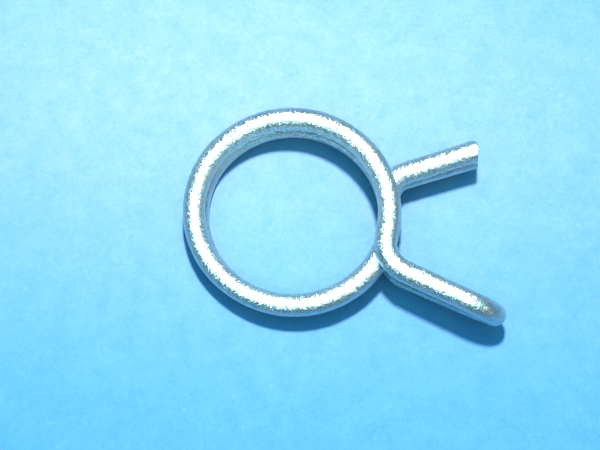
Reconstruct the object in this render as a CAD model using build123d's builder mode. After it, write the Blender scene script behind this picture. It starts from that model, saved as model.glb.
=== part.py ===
from build123d import *
import os
from math import asin, atan2, cos, degrees, hypot, radians, sin, sqrt, tan

# Spring wire clamp for tubing, bent from one length of round spring wire.
#
# The middle of the wire is a hairpin that stands on edge and makes one ear.
# Each leg of the hairpin bends back into the ring, goes once round it and a
# little over, and its cut end leaves between the hairpin's legs and makes half
# of the other ear. Squeezing the two ears towards each other opens the ring.
#
# Origin: centre of the ring, halfway between the two outer turns.
# +Z is the axis of the tube, and +X points out between the two ears.
# All sizes are in millimetres, all angles in degrees.

# wire
wire_diameter = 2.0
turn_gap = 0.1               # free space between neighbouring turns

# ring, measured inside the wire, and slightly oval as it springs off its mandrel
ring_inside_long = 15.7      # along X, from the ears to the back
ring_inside_across = 14.7    # along Y

# ears, each at this angle from the X axis
ear_angle = 21.3

# hairpin ear
hairpin_leave_angle = -10.6  # where on the ring the upper outer turn bends off
hairpin_bend_inside = 1.9    # inside radius of that bend
hairpin_leg = 5.7            # straight length of the upper leg

# ear of the two cut ends
end_leave_angle = 14.0       # where on the ring the upper inner turn bends off
end_bend_inside = 0.9        # inside radius of that bend
end_leg = 7.15               # straight length of each end

# the lower half lags this much behind the upper one, about the axis of the ring
lower_lag = 1.1

# a turn is level up to the first of these angles, climbs, and is level from the second one on
level_until = 20.0           # past the place where it crosses the cut end
level_from = 240.0

# sheared ends: the blade rolls one side of the wire over and leaves the other sharp
shear_roll_radius = 0.6
shear_roll_rise = 0.04       # the roll would run out this far above the wire
shear_slant = 16.0           # the cut face leans back towards the sharp side

# sizes worked out from the ones above
wire_radius = wire_diameter / 2
half_long = ring_inside_long / 2 + wire_radius
half_across = ring_inside_across / 2 + wire_radius
radius_change = (half_long - half_across) / (sqrt(2) - 1)
arc_offset = radius_change / sqrt(2)       # from the origin to the centre of an arc
end_arc_radius = half_long - arc_offset    # arcs of the oval that cross the X axis
side_arc_radius = half_across + arc_offset  # arcs of the oval that cross the Y axis
hairpin_bend_radius = hairpin_bend_inside + wire_radius
end_bend_radius = end_bend_inside + wire_radius
turn_step = wire_diameter + turn_gap
inner_level = turn_step / 2                # height of the upper inner turn
outer_level = inner_level + turn_step      # height of the upper outer turn and radius of the bow
full_turn = 360
quarter_turn = 90
eighth_turn = 45                           # the arcs of the oval meet at every odd one

UPPER = 1
LOWER = -1


def heading(azimuth, climb=0.0):
    """Unit vector at an azimuth in the XY plane, climbing by an angle."""
    return Vector(1, 0, 0).rotate(Axis.Y, -climb).rotate(Axis.Z, azimuth)


def bend(start, before, after, radius):
    """Draw the arc that turns the wire from one heading into the next, and give its end."""
    half_turn = radians(before.get_angle(after)) / 2
    end = start + (before + after) * (radius * tan(half_turn))
    TangentArc(start, end, tangent=before)
    return end


def straight(start, direction, length):
    """Draw a straight run of wire, and give its end."""
    end = start + direction * length
    Line(start, end)
    return end


def arc_radius(angle):
    """Radius of the oval at an angle around the ring."""
    crosses_y = eighth_turn < angle % (full_turn / 2) < 3 * eighth_turn
    return side_arc_radius if crosses_y else end_arc_radius


def oval_point(angle, height):
    """Point on an end arc of the oval, at an angle around the arc's centre."""
    return Vector(
        arc_offset + end_arc_radius * cos(radians(angle)),
        end_arc_radius * sin(radians(angle)),
        height,
    )


def turn_marks(hairpin_leave):
    """Angles that divide a turn into arcs, from its lowest point back to its highest."""
    marks = {*range(eighth_turn, full_turn, eighth_turn), level_from, level_until, hairpin_leave}
    return sorted(marks, reverse=True)


def climbs(mark):
    """Whether a turn is climbing where it passes this mark."""
    return level_until < mark < level_from


def climb_angle(marks):
    """Slope between the level stretches that lifts a turn by one step in all."""
    lift = 0.0
    for before, after in zip(marks, marks[1:]):
        sloping_ends = climbs(before) + climbs(after)
        lift += sloping_ends * arc_radius((before + after) / 2) * tan(radians(before - after) / 2)
    return degrees(asin(turn_step / lift))


def bow_middle():
    """Middle of the hairpin's bow, where the upper leg with its bend at the ring leads to."""
    start = oval_point(hairpin_leave_angle, 0)
    before = heading(hairpin_leave_angle - quarter_turn)
    outwards = heading(-ear_angle)
    half_turn = radians(before.get_angle(outwards)) / 2
    leg_start = start + (before + outwards) * (hairpin_bend_radius * tan(half_turn))
    return leg_start + outwards * (hairpin_leg + outer_level)


def half_wire(side, lag):
    """Draw one half of the centreline, and give the plane where its end is cut.

    It runs from the cut end back round the ring, out along the hairpin's leg and
    over half of the hairpin's bow, which ends halfway between the two outer turns.
    """
    end_leave = end_leave_angle - lag
    hairpin_leave = hairpin_leave_angle - lag
    leave = oval_point(end_leave, side * inner_level)
    outwards = heading(ear_angle - lag)
    point = bend(leave, heading(end_leave + quarter_turn), outwards, end_bend_radius)
    cut_plane = Plane(origin=point + outwards * end_leg, x_dir=outwards, z_dir=(0, 0, 1))
    straight(point, outwards, end_leg + wire_radius)

    # back round the ring: level, then climbing away from the middle, then level
    marks = turn_marks(hairpin_leave)
    slope = side * climb_angle(marks)
    point = leave
    angle = full_turn + end_leave
    direction = heading(angle - quarter_turn)
    for mark in marks:
        next_direction = heading(mark - quarter_turn, slope if climbs(mark) else 0.0)
        point = bend(point, direction, next_direction, arc_radius((angle + mark) / 2))
        angle, direction = mark, next_direction

    # out along the leg, which leaves its bend straight towards the middle of the bow
    bend_centre = point + heading(hairpin_leave) * hairpin_bend_radius
    to_middle = bow_middle() - bend_centre
    reach = hypot(to_middle.X, to_middle.Y)
    turned_aside = degrees(asin(hairpin_bend_radius / reach))
    outwards = heading(degrees(atan2(to_middle.Y, to_middle.X)) + turned_aside)
    point = bend(point, direction, outwards, hairpin_bend_radius)
    bow_radius = abs(point.Z)
    point = straight(point, outwards, sqrt(reach**2 - hairpin_bend_radius**2) - bow_radius)

    # over half of the bow
    bend(point, outwards, Vector(0, 0, -side), bow_radius)
    return cut_plane


def cut_face_x(y):
    """Where the slanted cut face lies at a height across a wire that ends at X = 0."""
    return y * tan(radians(shear_slant))


# what the blade takes off a wire that runs along X, with the rolled edge towards Y
with BuildPart() as shear_waste:
    roll_top = wire_radius + shear_roll_rise
    waste_bottom = -wire_diameter
    with BuildSketch(Plane.XY) as waste_outline:
        with BuildLine():
            Polyline(
                (-wire_diameter, roll_top),
                (cut_face_x(roll_top), roll_top),
                (cut_face_x(waste_bottom), waste_bottom),
                (wire_diameter, waste_bottom),
                (wire_diameter, wire_diameter),
                (-wire_diameter, wire_diameter),
                close=True,
            )
        make_face()
        rolled_corner = waste_outline.vertices().sort_by_distance((cut_face_x(roll_top), roll_top))[0]
        fillet(rolled_corner, shear_roll_radius)
    # as deep as the wire has to itself, halfway to its neighbour
    extrude(amount=turn_step / 2, both=True)

with BuildPart() as clamp_wire:
    with BuildLine() as centreline:
        upper_cut = half_wire(UPPER, 0.0)
        lower_cut = half_wire(LOWER, lower_lag)
    route = centreline.wire()
    with BuildSketch(Plane(origin=route @ 0, z_dir=route % 0)):
        Circle(wire_radius)
    sweep(path=route)
    with Locations(upper_cut, lower_cut):
        add(shear_waste.part, mode=Mode.SUBTRACT)

clamp_wire.part.label = "clamp_wire"

os.makedirs("parts", exist_ok=True)
export_step(clamp_wire.part, "parts/clamp_wire.step")
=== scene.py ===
from math import asin, atan2, cos, degrees, pi, radians, sin, sqrt, tan

import bmesh
import bpy
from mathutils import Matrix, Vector
from mathutils.geometry import intersect_ray_tri


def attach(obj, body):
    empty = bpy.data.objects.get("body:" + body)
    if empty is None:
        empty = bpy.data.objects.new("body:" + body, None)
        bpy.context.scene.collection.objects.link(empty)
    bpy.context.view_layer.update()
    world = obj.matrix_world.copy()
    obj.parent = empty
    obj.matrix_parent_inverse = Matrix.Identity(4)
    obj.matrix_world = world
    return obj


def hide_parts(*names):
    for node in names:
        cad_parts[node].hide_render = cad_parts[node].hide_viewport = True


# Spring wire tubing clamp: one length of bright zinc plated spring wire.
#
# The wire is swept along its own centreline by a Geometry Nodes tree, its two
# ends are closed as a wire shear leaves them, and it takes the place of the
# plain solid. It lies on pale blue card under one small lamp, with a wide weak
# fill above it and a weak warm panel to one side.

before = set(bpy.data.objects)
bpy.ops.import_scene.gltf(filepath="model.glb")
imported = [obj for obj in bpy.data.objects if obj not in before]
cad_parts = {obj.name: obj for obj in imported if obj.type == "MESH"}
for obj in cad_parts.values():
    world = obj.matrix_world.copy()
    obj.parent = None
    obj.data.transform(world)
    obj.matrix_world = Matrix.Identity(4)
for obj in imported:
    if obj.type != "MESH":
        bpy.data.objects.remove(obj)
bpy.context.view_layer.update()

MM = 0.001

# wire, in millimetres, as in the part's source
wire_diameter = 2.0
turn_gap = 0.1
wire_radius = wire_diameter / 2

# ring and ears
ring_inside_long = 15.7
ring_inside_across = 14.7
ear_angle = 21.3
hairpin_leave_angle = -10.6
hairpin_bend_inside = 1.9
hairpin_leg = 5.7
end_leave_angle = 14.0
end_bend_inside = 0.9
end_leg = 7.15
lower_lag = 1.1
level_until = 20.0
level_from = 240.0

# sheared ends
shear_roll_radius = 0.6
shear_sharp_radius = 0.06
shear_slant = 16.0
wall_rows = 3                 # rows of the mesh up the wall, over the rolled edge and across the face
roll_rows = 10
face_rows = 6
plated_rows = 11              # the plating was dragged this many rows over the edge
torn_from = 0.25              # the face is torn from here towards the sharp side
torn_ragged = 0.35
torn_border_size = 0.25
torn_border_width = 0.08
torn_grain_size = 0.10
torn_grain_tilt = 0.9
torn_roughness = 0.5
torn_dark = (0.30, 0.30, 0.29)
torn_light = (0.58, 0.57, 0.55)
burnished_roughness = (0.2, 0.45)
burnished_tone = (0.55, 0.55, 0.54)
drag_line_width = 0.05
drag_line_length = 1.2

# sizes worked out from the ones above
half_long = ring_inside_long / 2 + wire_radius
half_across = ring_inside_across / 2 + wire_radius
arc_offset = (half_long - half_across) / (2 - sqrt(2))
end_arc_radius = half_long - arc_offset
side_arc_radius = half_across + arc_offset
hairpin_bend_radius = hairpin_bend_inside + wire_radius
end_bend_radius = end_bend_inside + wire_radius
turn_step = wire_diameter + turn_gap
inner_level = turn_step / 2
outer_level = inner_level + turn_step
full_turn = 360
quarter_turn = 90
eighth_turn = 45              # the arcs of the oval meet at every odd one

UPPER = 1
LOWER = -1

# material slots of the wire
PLATED = 0
BARE = 1

# plating: size of its crystals in millimetres, how far they tilt the surface, and their tones
crystal_size = 0.075
crystal_swell = 0.37          # waves of the broad swell per crystal
crystal_tilt = 0.5
crystal_softness = 0.2
crystal_roughness = (0.33, 0.47)
zinc_dull = (0.297, 0.375, 0.385)
zinc_bright = (0.505, 0.638, 0.655)
drawn_line_width = 0.03
drawn_line_length = 2.5
drawn_line_share = 0.25
plating_patch = 1.6
plating_rough_reach = 0.6
zinc_warm_range = (0.45, 0.7)
zinc_warmth = 0.5
zinc_warm_tint = (1.0, 0.95, 0.84)

# the wire rests on a side of its hull that faces down by at least this much
level_enough = 0.7

# card under the clamp: a pool of light painted into its colour, its place and reach in millimetres, and the
# card's colours in the painted pool and far from it
painted_pool_place = (-7.8, 13.3, 0.0)
painted_pool_reach = (57.6, 25.4, 1000.0)
card_in_painted_pool = (0.0775, 0.128, 0.194)
card_beyond_painted_pool = (0.0, 0.087, 0.195)
card_cloud = 2.2
card_cloud_roughness = 0.8
card_fibre = 0.30
card_fibre_roughness = 0.9
card_fibre_twist = 0.8
card_roughness = 0.9
card_gloss = 0.2
card_half_width = 600.0
card_uneven = (0.70, 0.30, 0.10)
card_fleck_apart = 1.1
card_fleck_share = (0.7, 1.0)  # of the cells, those above the first have a fleck
card_fleck_reach = 0.28
card_fleck_edge = 0.15
card_fleck_strength = 0.013
card_fleck_tint = (1.0, 0.6, 0.2)

# lights and camera, in millimetres, degrees and watts
lit_middle = (4.0, 0.0, 0.0)
lamp_place = (8.61, 35.70, 149.55)
lamp_diameter = 10.0
lamp_power = 1.3
fill_place = (10.0, 10.0, 300.0)
fill_diameter = 300.0
fill_power = 2.2
fill_colour = (0.14, 0.727, 1.0)
warm_place = (220.0, -125.0, 170.0)
warm_diameter = 200.0
warm_power = 0.1
warm_colour = (1.0, 0.8, 0.6)
room_strength = 0.07
room_colour = (0.857, 1.0, 0.643)
camera_place = (9.9251, -12.7650, 133.4370)
camera_turn = (5.3004, 3.5880, 4.0871)
camera_focal_pixels = 1476.98
frame_width = 600
sensor_width = 36.0
sight = (5.0, 5000.0)         # nearest and farthest that the camera sees

# mesh of the wire
sides_round_wire = 64
station_spacing = 0.14
smoothing_rounds = 5
ripple_height = 0.004
ripple_length = 0.9
ripple_seed = 3
seed_step = 7.31              # how far apart two seeds lie in the noise
path_steps = 32               # on each arc of the path, before the stations are spaced evenly

# noise patterns
noise_middle = 0.5
noise_detail = 2.0
cloud_detail = 3.0


# Route of the centreline


def heading(azimuth, climb=0.0):
    """Unit vector at an azimuth in the XY plane, climbing by an angle, both in degrees."""
    a, c = radians(azimuth), radians(climb)
    return Vector((cos(a) * cos(c), sin(a) * cos(c), sin(c)))


def arc_radius(angle):
    """Radius of the oval at an angle around the ring."""
    return side_arc_radius if eighth_turn < angle % (full_turn / 2) < 3 * eighth_turn else end_arc_radius


def oval_point(angle, height):
    """Point on an end arc of the oval, at an angle around the arc's centre."""
    return Vector((
        arc_offset + end_arc_radius * cos(radians(angle)),
        end_arc_radius * sin(radians(angle)),
        height,
    ))


def turn_marks(hairpin_leave):
    """Angles that divide a turn into arcs, from its lowest point back to its highest."""
    marks = {*range(eighth_turn, full_turn, eighth_turn), level_from, level_until, hairpin_leave}
    return sorted(marks, reverse=True)


def climbs(mark):
    """Whether a turn is climbing where it passes this mark."""
    return level_until < mark < level_from


def climb_angle(marks):
    """Slope that lifts a turn by one step in all."""
    lift = 0.0
    for before, after in zip(marks, marks[1:]):
        sloping_ends = climbs(before) + climbs(after)
        lift += sloping_ends * arc_radius((before + after) / 2) * tan(radians(before - after) / 2)
    return degrees(asin(turn_step / lift))


def bow_middle():
    """Middle of the hairpin's bow, where the upper leg with its bend at the ring leads to."""
    leg = Route(oval_point(hairpin_leave_angle, 0), heading(hairpin_leave_angle - quarter_turn))
    leg.bend(heading(-ear_angle), hairpin_bend_radius)
    leg.run(hairpin_leg + outer_level)
    return leg.points[-1][0]


class Route:
    """A chain of tangent arcs and straight runs.

    Kept as Bezier points: place, heading, reach back and reach on.
    """

    def __init__(self, start, direction):
        self.points = [[start, direction, 0.0, 0.0]]

    def bend(self, direction, radius):
        """Turn into a new heading on one arc."""
        place, before = self.points[-1][:2]
        turn = before.angle(direction)
        reach = radius * tan(turn / 4) * 4 / 3
        self.points[-1][3] = reach
        self.points.append([place + (before + direction) * (radius * tan(turn / 2)), direction, reach, 0.0])

    def run(self, length):
        """Go straight on."""
        place, direction = self.points[-1][:2]
        self.points[-1][3] = length / 3
        self.points.append([place + direction * length, direction, length / 3, 0.0])


def walked_back(points):
    """A chain's points, walked from its end to its start."""
    return [[place, -direction, on, back] for place, direction, back, on in reversed(points)]


def half_route(side, lag):
    """One half of the wire: from its cut end, back round the ring and out to the middle of the bow."""
    end_leave = end_leave_angle - lag
    hairpin_leave = hairpin_leave_angle - lag
    leave = oval_point(end_leave, side * inner_level)
    end = Route(leave, heading(end_leave + quarter_turn))
    end.bend(heading(ear_angle - lag), end_bend_radius)
    end.run(end_leg - shear_roll_radius)

    ring = Route(leave, heading(full_turn + end_leave - quarter_turn))
    marks = turn_marks(hairpin_leave)
    slope = side * climb_angle(marks)
    angle = full_turn + end_leave
    for mark in marks:
        direction = heading(mark - quarter_turn, slope if climbs(mark) else 0.0)
        ring.bend(direction, arc_radius((angle + mark) / 2))
        angle = mark

    # the leg leaves its bend straight towards the middle of the bow
    leg_bend_centre = ring.points[-1][0] + heading(hairpin_leave) * hairpin_bend_radius
    to_middle = bow_middle() - leg_bend_centre
    reach = to_middle.xy.length
    outwards = heading(degrees(atan2(to_middle.y, to_middle.x) + asin(hairpin_bend_radius / reach)))
    ring.bend(outwards, hairpin_bend_radius)
    bow_radius = abs(ring.points[-1][0].z)
    ring.run(sqrt(reach**2 - hairpin_bend_radius**2) - bow_radius)
    ring.bend(Vector((0, 0, -side)), bow_radius)
    return join(walked_back(end.points), ring.points)


def join(first, second):
    """Two chains as one, where the second starts at the first one's last point."""
    meeting = [*first[-1][:3], second[0][3]]
    return first[:-1] + [meeting] + second[1:]


def whole_route():
    """The upper half from its cut end to the bow, and the lower half on to its own cut end."""
    return join(half_route(UPPER, 0.0), walked_back(half_route(LOWER, lower_lag)))


def path_curve(points):
    """A curve object along the route, in metres."""
    curve = bpy.data.curves.new("wire_path", "CURVE")
    curve.dimensions = "3D"
    curve.resolution_u = path_steps
    spline = curve.splines.new("BEZIER")
    spline.bezier_points.add(len(points) - 1)
    for bezier, (place, direction, back, on) in zip(spline.bezier_points, points):
        bezier.handle_left_type = bezier.handle_right_type = "FREE"
        bezier.co = place * MM
        bezier.handle_left = (place - direction * back) * MM
        bezier.handle_right = (place + direction * on) * MM
    path = bpy.data.objects.new("wire_path", curve)
    bpy.context.scene.collection.objects.link(path)
    return path


# Geometry Nodes: round wire along a path


def linked(tree, kind, settings=None, **inputs):
    """A node with its settings made and its inputs set or linked, by names with _ for a space."""
    node = tree.nodes.new(kind)
    for name, value in (settings or {}).items():
        setattr(node, name, value)
    for name, value in inputs.items():
        numbered = name[0] == "i" and name[1:].isdigit()
        socket = node.inputs[int(name[1:]) if numbered else name.replace("_", " ")]
        if isinstance(value, bpy.types.NodeSocket):
            tree.links.new(value, socket)
        else:
            socket.default_value = value
    return node


def wire_tree():
    """A round wire along the input curve, with each point's place on the straightened wire."""
    tree = bpy.data.node_groups.new("round wire along a path", "GeometryNodeTree")
    sockets = tree.interface
    sockets.new_socket("Path", in_out="INPUT", socket_type="NodeSocketGeometry")
    for name in ("Radius", "Spacing", "Ripple", "Ripple Length"):
        sockets.new_socket(name, in_out="INPUT", socket_type="NodeSocketFloat")
    for name in ("Sides", "Smoothing", "Seed"):
        sockets.new_socket(name, in_out="INPUT", socket_type="NodeSocketInt")
    sockets.new_socket("Material", in_out="INPUT", socket_type="NodeSocketMaterial")
    sockets.new_socket("Wire", in_out="OUTPUT", socket_type="NodeSocketGeometry")
    given = tree.nodes.new("NodeGroupInput").outputs

    # stations along the path, with the joints between its arcs eased
    stations = linked(
        tree, "GeometryNodeResampleCurve", {"mode": "LENGTH"}, Curve=given["Path"], Length=given["Spacing"]
    )
    place = linked(tree, "GeometryNodeInputPosition")
    eased = linked(
        tree, "GeometryNodeBlurAttribute", {"data_type": "FLOAT_VECTOR"},
        Value=place.outputs[0], Iterations=given["Smoothing"],
    )
    easy = linked(tree, "GeometryNodeSetPosition", Geometry=stations.outputs[0], Position=eased.outputs[0])

    # sweep, keeping the length along the wire and the place round it
    measured = tree.nodes.new("GeometryNodeCaptureAttribute")
    measured.capture_items.new("FLOAT", "Length")
    along = linked(tree, "GeometryNodeSplineParameter")
    tree.links.new(easy.outputs[0], measured.inputs[0])
    tree.links.new(along.outputs["Length"], measured.inputs["Length"])
    circle = linked(
        tree, "GeometryNodeCurvePrimitiveCircle", {"mode": "RADIUS"},
        Resolution=given["Sides"], Radius=given["Radius"],
    )
    rounded = tree.nodes.new("GeometryNodeCaptureAttribute")
    rounded.capture_items.new("VECTOR", "Round")
    tree.links.new(circle.outputs[0], rounded.inputs[0])
    tree.links.new(place.outputs[0], rounded.inputs["Round"])
    sweep = linked(
        tree, "GeometryNodeCurveToMesh", Curve=measured.outputs[0], Profile_Curve=rounded.outputs[0]
    )
    split = linked(tree, "ShaderNodeSeparateXYZ", Vector=rounded.outputs["Round"])
    wire_place = linked(
        tree, "ShaderNodeCombineXYZ",
        X=split.outputs["X"], Y=split.outputs["Y"], Z=measured.outputs["Length"],
    )
    kept = linked(
        tree, "GeometryNodeStoreNamedAttribute", {"data_type": "FLOAT_VECTOR", "domain": "POINT"},
        Geometry=sweep.outputs[0], Name="wire_place", Value=wire_place.outputs[0],
    )

    # the drawn and tumbled surface ripples a little
    seed = linked(tree, "ShaderNodeMath", {"operation": "MULTIPLY"}, i0=given["Seed"], i1=seed_step)
    ripple_scale = linked(
        tree, "ShaderNodeMath", {"operation": "DIVIDE"}, i0=1.0, i1=given["Ripple Length"]
    )
    ripple = linked(
        tree, "ShaderNodeTexNoise", {"noise_dimensions": "4D"},
        Vector=wire_place.outputs[0], W=seed.outputs[0],
        Scale=ripple_scale.outputs[0], Detail=noise_detail,
    )
    centred = linked(
        tree, "ShaderNodeMath", {"operation": "SUBTRACT"}, i0=ripple.outputs[0], i1=noise_middle
    )
    height = linked(
        tree, "ShaderNodeMath", {"operation": "MULTIPLY"}, i0=centred.outputs[0], i1=given["Ripple"]
    )
    normal = linked(tree, "GeometryNodeInputNormal")
    outwards = linked(
        tree, "ShaderNodeVectorMath", {"operation": "SCALE"},
        Vector=normal.outputs[0], Scale=height.outputs[0],
    )
    rippled = linked(tree, "GeometryNodeSetPosition", Geometry=kept.outputs[0], Offset=outwards.outputs[0])

    smooth = linked(tree, "GeometryNodeSetShadeSmooth", Geometry=rippled.outputs[0])
    real = linked(tree, "GeometryNodeRealizeInstances", Geometry=smooth.outputs[0])
    dressed = linked(tree, "GeometryNodeSetMaterial", Geometry=real.outputs[0], Material=given["Material"])
    tree.links.new(dressed.outputs[0], tree.nodes.new("NodeGroupOutput").inputs[0])
    return tree


def plain_mesh(obj, name, tree, **inputs):
    """What a tree makes of an object, as a plain mesh object. The object itself is removed."""
    modifier = obj.modifiers.new(tree.name, "NODES")
    modifier.node_group = tree
    for socket in tree.interface.items_tree:
        key = socket.name.replace(" ", "_")
        if socket.in_out == "INPUT" and key in inputs:
            modifier[socket.identifier] = inputs[key]
    graph = bpy.context.evaluated_depsgraph_get()
    mesh = bpy.data.meshes.new_from_object(obj.evaluated_get(graph), depsgraph=graph)
    mesh.name = name
    bpy.data.objects.remove(obj)
    made = bpy.data.objects.new(name, mesh)
    bpy.context.scene.collection.objects.link(made)
    return made


# Materials


def new_material(name):
    """A material, its node tree and its Principled shader."""
    material = bpy.data.materials.new(name)
    material.use_nodes = True
    tree = material.node_tree
    return material, tree, tree.nodes["Principled BSDF"]


def crystal_group():
    """Fine crystals of the plating: each cell tilts the surface its own way and has its own tone."""
    group = bpy.data.node_groups.new("plating crystals", "ShaderNodeTree")
    sockets = group.interface
    sockets.new_socket("Place", in_out="INPUT", socket_type="NodeSocketVector")
    for name in ("Size", "Tilt", "Softness"):
        sockets.new_socket(name, in_out="INPUT", socket_type="NodeSocketFloat")
    sockets.new_socket("Normal", in_out="OUTPUT", socket_type="NodeSocketVector")
    sockets.new_socket("Tone", in_out="OUTPUT", socket_type="NodeSocketFloat")
    given = group.nodes.new("NodeGroupInput").outputs
    out = group.nodes.new("NodeGroupOutput").inputs

    scale = linked(group, "ShaderNodeMath", {"operation": "DIVIDE"}, i0=1.0, i1=given["Size"])
    cells = linked(
        group, "ShaderNodeTexVoronoi", {"feature": "SMOOTH_F1"},
        Vector=given["Place"], Scale=scale.outputs[0], Smoothness=given["Softness"],
    )
    broad_scale = linked(
        group, "ShaderNodeMath", {"operation": "MULTIPLY"}, i0=scale.outputs[0], i1=crystal_swell
    )
    broad = linked(
        group, "ShaderNodeTexNoise", Vector=given["Place"],
        Scale=broad_scale.outputs[0], Detail=noise_detail,
    )
    own = linked(
        group, "ShaderNodeVectorMath", {"operation": "SUBTRACT"},
        i0=cells.outputs["Color"], i1=[noise_middle] * 3,
    )
    shared = linked(
        group, "ShaderNodeVectorMath", {"operation": "SUBTRACT"},
        i0=broad.outputs["Color"], i1=[noise_middle] * 3,
    )
    both = linked(
        group, "ShaderNodeVectorMath", {"operation": "ADD"}, i0=own.outputs[0], i1=shared.outputs[0]
    )
    tilt = linked(
        group, "ShaderNodeVectorMath", {"operation": "SCALE"}, Vector=both.outputs[0], Scale=given["Tilt"]
    )
    surface = group.nodes.new("ShaderNodeNewGeometry")
    tilted = linked(
        group, "ShaderNodeVectorMath", {"operation": "ADD"},
        i0=surface.outputs["Normal"], i1=tilt.outputs[0],
    )
    normal = linked(group, "ShaderNodeVectorMath", {"operation": "NORMALIZE"}, i0=tilted.outputs[0])
    tone = linked(group, "ShaderNodeSeparateColor", Color=cells.outputs["Color"])
    group.links.new(normal.outputs[0], out["Normal"])
    group.links.new(tone.outputs[0], out["Tone"])
    return group


def bright_zinc(crystals):
    """Bright zinc plating on drawn spring wire."""
    material, tree, surface = new_material("bright_zinc")
    place = linked(tree, "ShaderNodeAttribute", {"attribute_name": "wire_place"})
    grain = tree.nodes.new("ShaderNodeGroup")
    grain.node_tree = crystals
    tree.links.new(place.outputs["Vector"], grain.inputs["Place"])
    grain.inputs["Size"].default_value = crystal_size * MM
    grain.inputs["Tilt"].default_value = crystal_tilt
    grain.inputs["Softness"].default_value = crystal_softness

    # lines that the drawing die left along the wire
    stretched = linked(
        tree, "ShaderNodeVectorMath", {"operation": "MULTIPLY"}, i0=place.outputs["Vector"],
        i1=(1 / (drawn_line_width * MM), 1 / (drawn_line_width * MM), 1 / (drawn_line_length * MM)),
    )
    lines = linked(tree, "ShaderNodeTexNoise", Vector=stretched.outputs[0], Scale=1.0, Detail=noise_detail)
    lined = linked(tree, "ShaderNodeMix", {"data_type": "FLOAT"}, Factor=drawn_line_share)
    tree.links.new(grain.outputs["Tone"], lined.inputs[2])
    tree.links.new(lines.outputs[0], lined.inputs[3])

    # the bath left the plating finer in some patches and a little warmer in others
    patches = linked(
        tree, "ShaderNodeTexNoise", Vector=place.outputs["Vector"],
        Scale=1 / (plating_patch * MM), Detail=cloud_detail,
    )
    split = linked(tree, "ShaderNodeSeparateColor", Color=patches.outputs["Color"])
    mixed = linked(
        tree, "ShaderNodeMath", {"operation": "MULTIPLY"}, i0=split.outputs[0], i1=lined.outputs[0]
    )
    rough = linked(
        tree, "ShaderNodeMapRange", Value=mixed.outputs[0],
        From_Max=plating_rough_reach, To_Min=crystal_roughness[0], To_Max=crystal_roughness[1],
    )
    colour = linked(tree, "ShaderNodeMix", {"data_type": "RGBA"}, Factor=lined.outputs[0])
    colour.inputs[6].default_value = (*zinc_dull, 1)
    colour.inputs[7].default_value = (*zinc_bright, 1)
    warmth = linked(
        tree, "ShaderNodeMapRange", Value=split.outputs[1],
        From_Min=zinc_warm_range[0], From_Max=zinc_warm_range[1], To_Max=zinc_warmth,
    )
    warmed = linked(
        tree, "ShaderNodeMix", {"data_type": "RGBA", "blend_type": "MULTIPLY"}, Factor=warmth.outputs[0]
    )
    tree.links.new(colour.outputs[2], warmed.inputs[6])
    warmed.inputs[7].default_value = (*zinc_warm_tint, 1)
    surface.inputs["Metallic"].default_value = 1.0
    tree.links.new(warmed.outputs[2], surface.inputs["Base Color"])
    tree.links.new(rough.outputs[0], surface.inputs["Roughness"])
    tree.links.new(grain.outputs["Normal"], surface.inputs["Normal"])
    return material


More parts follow.
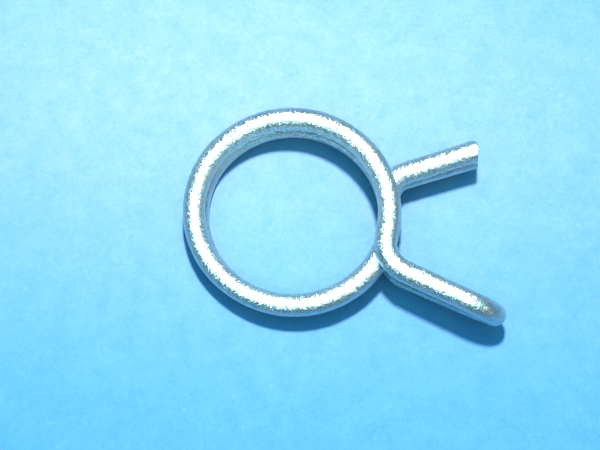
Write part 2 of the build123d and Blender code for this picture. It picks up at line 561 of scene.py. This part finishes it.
def sheared_steel(crystals):
    """Bare steel of a cut end: burnished where the blade went in, torn where the wire broke off."""
    material, tree, surface = new_material("sheared_steel")
    place = linked(tree, "ShaderNodeAttribute", {"attribute_name": "shear_place"})
    split = linked(tree, "ShaderNodeSeparateXYZ", Vector=place.outputs["Vector"])
    grain = tree.nodes.new("ShaderNodeGroup")
    grain.node_tree = crystals
    tree.links.new(place.outputs["Vector"], grain.inputs["Place"])
    grain.inputs["Size"].default_value = torn_grain_size * MM
    grain.inputs["Tilt"].default_value = torn_grain_tilt
    grain.inputs["Softness"].default_value = crystal_softness

    # how far a place is torn, with a ragged border across the face
    ragged = linked(
        tree, "ShaderNodeTexNoise", Vector=place.outputs["Vector"],
        Scale=1 / (torn_border_size * MM), Detail=noise_detail,
    )
    border = linked(
        tree, "ShaderNodeMapRange", Value=ragged.outputs[0],
        To_Min=(torn_from - torn_ragged) * MM, To_Max=(torn_from + torn_ragged) * MM,
    )
    beyond = linked(
        tree, "ShaderNodeMath", {"operation": "SUBTRACT"}, i0=border.outputs[0], i1=split.outputs["X"]
    )
    torn = linked(
        tree, "ShaderNodeMapRange", Value=beyond.outputs[0], From_Max=torn_border_width * MM
    )

    # drag lines of the blade in the burnished zone
    along = linked(
        tree, "ShaderNodeMath", {"operation": "MULTIPLY"},
        i0=split.outputs["X"], i1=1 / (drag_line_length * MM),
    )
    across = linked(
        tree, "ShaderNodeMath", {"operation": "MULTIPLY"},
        i0=split.outputs["Y"], i1=1 / (drag_line_width * MM),
    )
    drag = linked(tree, "ShaderNodeCombineXYZ", X=along.outputs[0], Y=across.outputs[0])
    lines = linked(tree, "ShaderNodeTexNoise", Vector=drag.outputs[0], Scale=1.0, Detail=noise_detail)
    flat = linked(tree, "ShaderNodeNewGeometry")
    normal = linked(tree, "ShaderNodeMix", {"data_type": "VECTOR"}, Factor=torn.outputs[0])
    tree.links.new(flat.outputs["Normal"], normal.inputs[4])
    tree.links.new(grain.outputs["Normal"], normal.inputs[5])
    smooth_rough = linked(
        tree, "ShaderNodeMapRange", Value=lines.outputs[0],
        To_Min=burnished_roughness[0], To_Max=burnished_roughness[1],
    )
    rough = linked(tree, "ShaderNodeMix", {"data_type": "FLOAT"}, Factor=torn.outputs[0])
    tree.links.new(smooth_rough.outputs[0], rough.inputs[2])
    rough.inputs[3].default_value = torn_roughness
    tone = linked(tree, "ShaderNodeMix", {"data_type": "RGBA"}, Factor=grain.outputs["Tone"])
    tone.inputs[6].default_value = (*torn_dark, 1)
    tone.inputs[7].default_value = (*torn_light, 1)
    colour = linked(tree, "ShaderNodeMix", {"data_type": "RGBA"}, Factor=torn.outputs[0])
    colour.inputs[6].default_value = (*burnished_tone, 1)
    tree.links.new(tone.outputs[2], colour.inputs[7])
    surface.inputs["Metallic"].default_value = 1.0
    tree.links.new(colour.outputs[2], surface.inputs["Base Color"])
    tree.links.new(rough.outputs[0], surface.inputs["Roughness"])
    tree.links.new(normal.outputs[1], surface.inputs["Normal"])
    return material


# Sheared ends


def end_outline(roll):
    """(back, out) places from the wall over a rolled edge to the middle of the cut face, in millimetres."""
    wall = [
        (shear_roll_radius + (roll - shear_roll_radius) * k / wall_rows, wire_radius)
        for k in range(1, wall_rows + 1)
    ]
    angles = [pi / 2 * k / roll_rows for k in range(1, roll_rows + 1)]
    turn = [(roll * (1 - sin(angle)), wire_radius - roll * (1 - cos(angle))) for angle in angles]
    face = [(0.0, (wire_radius - roll) * (1 - k / (face_rows + 1))) for k in range(1, face_rows + 1)]
    return wall + turn + face


def close_end(wire, last_ring, rolled_side):
    """Close one end of the tube as a shear leaves it: rolled over on one side and sharp on the other."""
    bm = bmesh.new()
    bm.from_mesh(wire.data)
    layers = bm.verts.layers.float_vector
    cut_layer = layers.get("shear_place") or layers.new("shear_place")
    layer = layers["wire_place"]
    rims = [edge for edge in bm.edges if edge.is_boundary]
    lengths = [edge.verts[0][layer].z for edge in rims]
    wanted = max(lengths) if last_ring else min(lengths)
    near = [edge for edge, length in zip(rims, lengths) if abs(length - wanted) < station_spacing * MM / 2]

    # walk round the rim
    first = near[0]
    ring = [first.verts[0], first.verts[1]]
    beside = {}
    for edge in near:
        for vert, other in (edge.verts, reversed(edge.verts)):
            beside.setdefault(vert, []).append(other)
    while len(ring) < len(near):
        ring.append(next(v for v in beside[ring[-1]] if v is not ring[-2]))
    centre = sum((v.co for v in ring), Vector()) / len(ring)
    normal = (ring[0].co - centre).cross(ring[len(ring) // 4].co - centre).normalized()
    inwards = next(e.other_vert(ring[0]) for e in ring[0].link_edges if not e.is_boundary)
    if normal.dot(ring[0].co - inwards.co) < 0:
        ring.reverse()
        normal = -normal
    side = (rolled_side - normal * rolled_side.dot(normal)).normalized()

    # what each place on the rim leads to, on its way to the middle of the face
    outlines = []
    for vert in ring:
        out = (vert.co - centre).normalized()
        lean = max(0.0, out.dot(side))
        roll = shear_sharp_radius + (shear_roll_radius - shear_sharp_radius) * lean ** 2
        outlines.append((out, end_outline(roll), vert[layer].copy()))
    slant = tan(radians(shear_slant))
    across = normal.cross(side)
    last = ring
    for row in range(wall_rows + roll_rows + face_rows):
        made = []
        for out, outline, origin in outlines:
            back, reach = outline[row]
            tipped = slant * reach * out.dot(side) * min(1, (row + 1) / wall_rows)
            place = centre + (normal * (shear_roll_radius - back + tipped) + out * reach) * MM
            vert = bm.verts.new(place)
            vert[layer] = (origin.x * reach / wire_radius, origin.y * reach / wire_radius, origin.z)
            vert[cut_layer] = (out.dot(side) * reach * MM, out.dot(across) * reach * MM, origin.z)
            made.append(vert)
        for k in range(len(ring)):
            face = bm.faces.new((last[k - 1], last[k], made[k], made[k - 1]))
            face.smooth = True
            face.material_index = BARE if row >= plated_rows else PLATED
        last = made
    middle = bm.verts.new(centre + normal * shear_roll_radius * MM)
    middle[layer] = middle[cut_layer] = (0, 0, ring[0][layer].z)
    for k in range(len(ring)):
        face = bm.faces.new((last[k - 1], last[k], middle))
        face.smooth = True
        face.material_index = BARE
    bm.to_mesh(wire.data)
    bm.free()


# Floor, lamp and camera


def resting_plane(points):
    """Place and upward normal of the floor under the wire, from the centreline's convex hull."""
    bm = bmesh.new()
    for point in points:
        bm.verts.new(point)
    bmesh.ops.convex_hull(bm, input=bm.verts)
    weight_centre = sum(points, Vector()) / len(points)
    for face in bm.faces:
        face.normal_update()
        down = face.normal
        if down.z < -level_enough:
            corners = [v.co for v in face.verts]
            if intersect_ray_tri(*corners, down, weight_centre, True):
                up = -down.normalized()
                touch = corners[0] - up * wire_radius * MM
                bm.free()
                return touch, up
    raise ValueError("the wire has no face to rest on")


def make_floor(touch, up):
    """A large plain sheet of pale blue card, its colour painted brightest where the lamp's light pools
    behind the clamp.
    """
    material, tree, surface = new_material("pale_card")
    place = linked(tree, "ShaderNodeTexCoord").outputs["Object"]
    # painted light: the card's colour is painted bright in a pool of the lamp's light and darker away from
    # it
    from_painted_pool = linked(
        tree, "ShaderNodeVectorMath", {"operation": "SUBTRACT"},
        i0=place, i1=[v * MM for v in painted_pool_place],
    )
    shrunk = linked(
        tree, "ShaderNodeVectorMath", {"operation": "MULTIPLY"},
        i0=from_painted_pool.outputs[0], i1=[1 / (v * MM) for v in painted_pool_reach],
    )
    squared = linked(
        tree, "ShaderNodeVectorMath", {"operation": "DOT_PRODUCT"},
        i0=shrunk.outputs[0], i1=shrunk.outputs[0],
    )
    more = linked(tree, "ShaderNodeMath", {"operation": "ADD"}, i0=squared.outputs["Value"], i1=1.0)
    painted_pool = linked(tree, "ShaderNodeMath", {"operation": "DIVIDE"}, i0=1.0, i1=more.outputs[0])
    blend = linked(tree, "ShaderNodeMix", {"data_type": "RGBA"}, Factor=painted_pool.outputs[0])
    blend.inputs[6].default_value = (*card_beyond_painted_pool, 1)
    blend.inputs[7].default_value = (*card_in_painted_pool, 1)

    # the dye lies unevenly: clouds and fibres change the red most and the blue least
    clouds = linked(
        tree, "ShaderNodeTexNoise", Vector=place, Scale=1 / (card_cloud * MM),
        Detail=cloud_detail, Roughness=card_cloud_roughness,
    )
    fibres = linked(
        tree, "ShaderNodeTexNoise", Vector=place, Scale=1 / (card_fibre * MM),
        Detail=noise_detail, Roughness=card_fibre_roughness, Distortion=card_fibre_twist,
    )
    both = linked(tree, "ShaderNodeMath", {"operation": "ADD"}, i0=clouds.outputs[0], i1=fibres.outputs[0])
    uneven = linked(tree, "ShaderNodeMath", {"operation": "SUBTRACT"}, i0=both.outputs[0], i1=1.0)
    dye = linked(
        tree, "ShaderNodeVectorMath", {"operation": "SCALE"}, Vector=card_uneven, Scale=uneven.outputs[0]
    )
    share = linked(tree, "ShaderNodeVectorMath", {"operation": "ADD"}, i0=dye.outputs[0], i1=(1, 1, 1))
    dyed = linked(
        tree, "ShaderNodeVectorMath", {"operation": "MULTIPLY"}, i0=blend.outputs[2], i1=share.outputs[0]
    )

    # pale flecks that took less dye
    flecks = linked(
        tree, "ShaderNodeTexVoronoi", {"feature": "F1"}, Vector=place, Scale=1 / (card_fleck_apart * MM)
    )
    chosen = linked(tree, "ShaderNodeSeparateColor", Color=flecks.outputs["Color"])
    size = linked(
        tree, "ShaderNodeMapRange", Value=chosen.outputs[0],
        From_Min=card_fleck_share[0], From_Max=card_fleck_share[1], To_Max=card_fleck_reach,
    )
    inside = linked(
        tree, "ShaderNodeMath", {"operation": "SUBTRACT"}, i0=size.outputs[0], i1=flecks.outputs["Distance"]
    )
    pale = linked(
        tree, "ShaderNodeMapRange", Value=inside.outputs[0],
        From_Max=card_fleck_edge, To_Max=card_fleck_strength,
    )
    tone = linked(tree, "ShaderNodeVectorMath", {"operation": "MULTIPLY_ADD"}, i0=pale.outputs[0])
    tone.inputs[1].default_value = card_fleck_tint
    tree.links.new(dyed.outputs[0], tone.inputs[2])
    tree.links.new(tone.outputs[0], surface.inputs["Base Color"])
    surface.inputs["Roughness"].default_value = card_roughness
    surface.inputs["Specular IOR Level"].default_value = card_gloss

    across = up.orthogonal().normalized()
    other = up.cross(across)
    square = ((-1, -1), (1, -1), (1, 1), (-1, 1))
    corners = [touch + (across * x + other * y) * card_half_width * MM for x, y in square]
    mesh = bpy.data.meshes.new("floor")
    mesh.from_pydata(corners, [], [(0, 1, 2, 3)])
    mesh.materials.append(material)
    floor = bpy.data.objects.new("floor", mesh)
    bpy.context.scene.collection.objects.link(floor)


def make_lamp(name, place, target, diameter, power, colour=(1, 1, 1)):
    """A round soft lamp that is aimed at a place."""
    lamp = bpy.data.lights.new(name, "AREA")
    lamp.shape = "DISK"
    lamp.size = diameter
    lamp.energy = power
    lamp.color = colour
    holder = bpy.data.objects.new(name, lamp)
    holder.location = place
    holder.rotation_euler = (target - place).to_track_quat("-Z", "Y").to_euler()
    bpy.context.scene.collection.objects.link(holder)


def make_world(strength, colour):
    """Even light of the room."""
    world = bpy.data.worlds.new("studio")
    bpy.context.scene.world = world
    world.use_nodes = True
    background = world.node_tree.nodes["Background"]
    background.inputs["Color"].default_value = (*colour, 1)
    background.inputs["Strength"].default_value = strength


def make_camera(place, turn, focal_pixels):
    """Camera at the photograph's viewing angle. Turn is (x, y, z) in degrees, applied in that order."""
    camera = bpy.data.cameras.new("camera")
    camera.sensor_width = sensor_width
    camera.lens = focal_pixels / frame_width * sensor_width
    camera.clip_start, camera.clip_end = (far * MM for far in sight)
    holder = bpy.data.objects.new("camera", camera)
    holder.location = place
    holder.rotation_euler = [radians(angle) for angle in turn]
    bpy.context.scene.collection.objects.link(holder)
    bpy.context.scene.camera = holder


crystals = crystal_group()
zinc = bright_zinc(crystals)
cut_steel = sheared_steel(crystals)

path = path_curve(whole_route())
wire = plain_mesh(
    path, "spring_wire", wire_tree(),
    Radius=wire_radius * MM, Spacing=station_spacing * MM,
    Sides=sides_round_wire, Smoothing=smoothing_rounds,
    Ripple=ripple_height * MM, Ripple_Length=ripple_length * MM, Seed=ripple_seed, Material=zinc,
)
wire.data.materials.append(cut_steel)
close_end(wire, False, heading(ear_angle + quarter_turn))
close_end(wire, True, heading(ear_angle - lower_lag + quarter_turn))

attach(wire, "root")
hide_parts("clamp_wire")

# the middles of the wire's cross-sections show what it rests on
sections = {}
for vert, value in zip(wire.data.vertices, wire.data.attributes["wire_place"].data):
    sections.setdefault(round(value.vector.z / (station_spacing * MM) * 2), []).append(vert.co)
whole = [places for places in sections.values() if len(places) == sides_round_wire]
centres = [sum(places, Vector()) / len(places) for places in whole]
touch, up = resting_plane(centres)
make_floor(touch, up)

middle = Vector(lit_middle) * MM
make_lamp("lamp", Vector(lamp_place) * MM, middle, lamp_diameter * MM, lamp_power)
make_lamp("soft_fill", Vector(fill_place) * MM, middle, fill_diameter * MM, fill_power, fill_colour)
make_lamp("warm_panel", Vector(warm_place) * MM, middle, warm_diameter * MM, warm_power, warm_colour)
make_world(room_strength, room_colour)
make_camera(Vector(camera_place) * MM, camera_turn, camera_focal_pixels)
bpy.context.scene.view_settings.view_transform = "Standard"
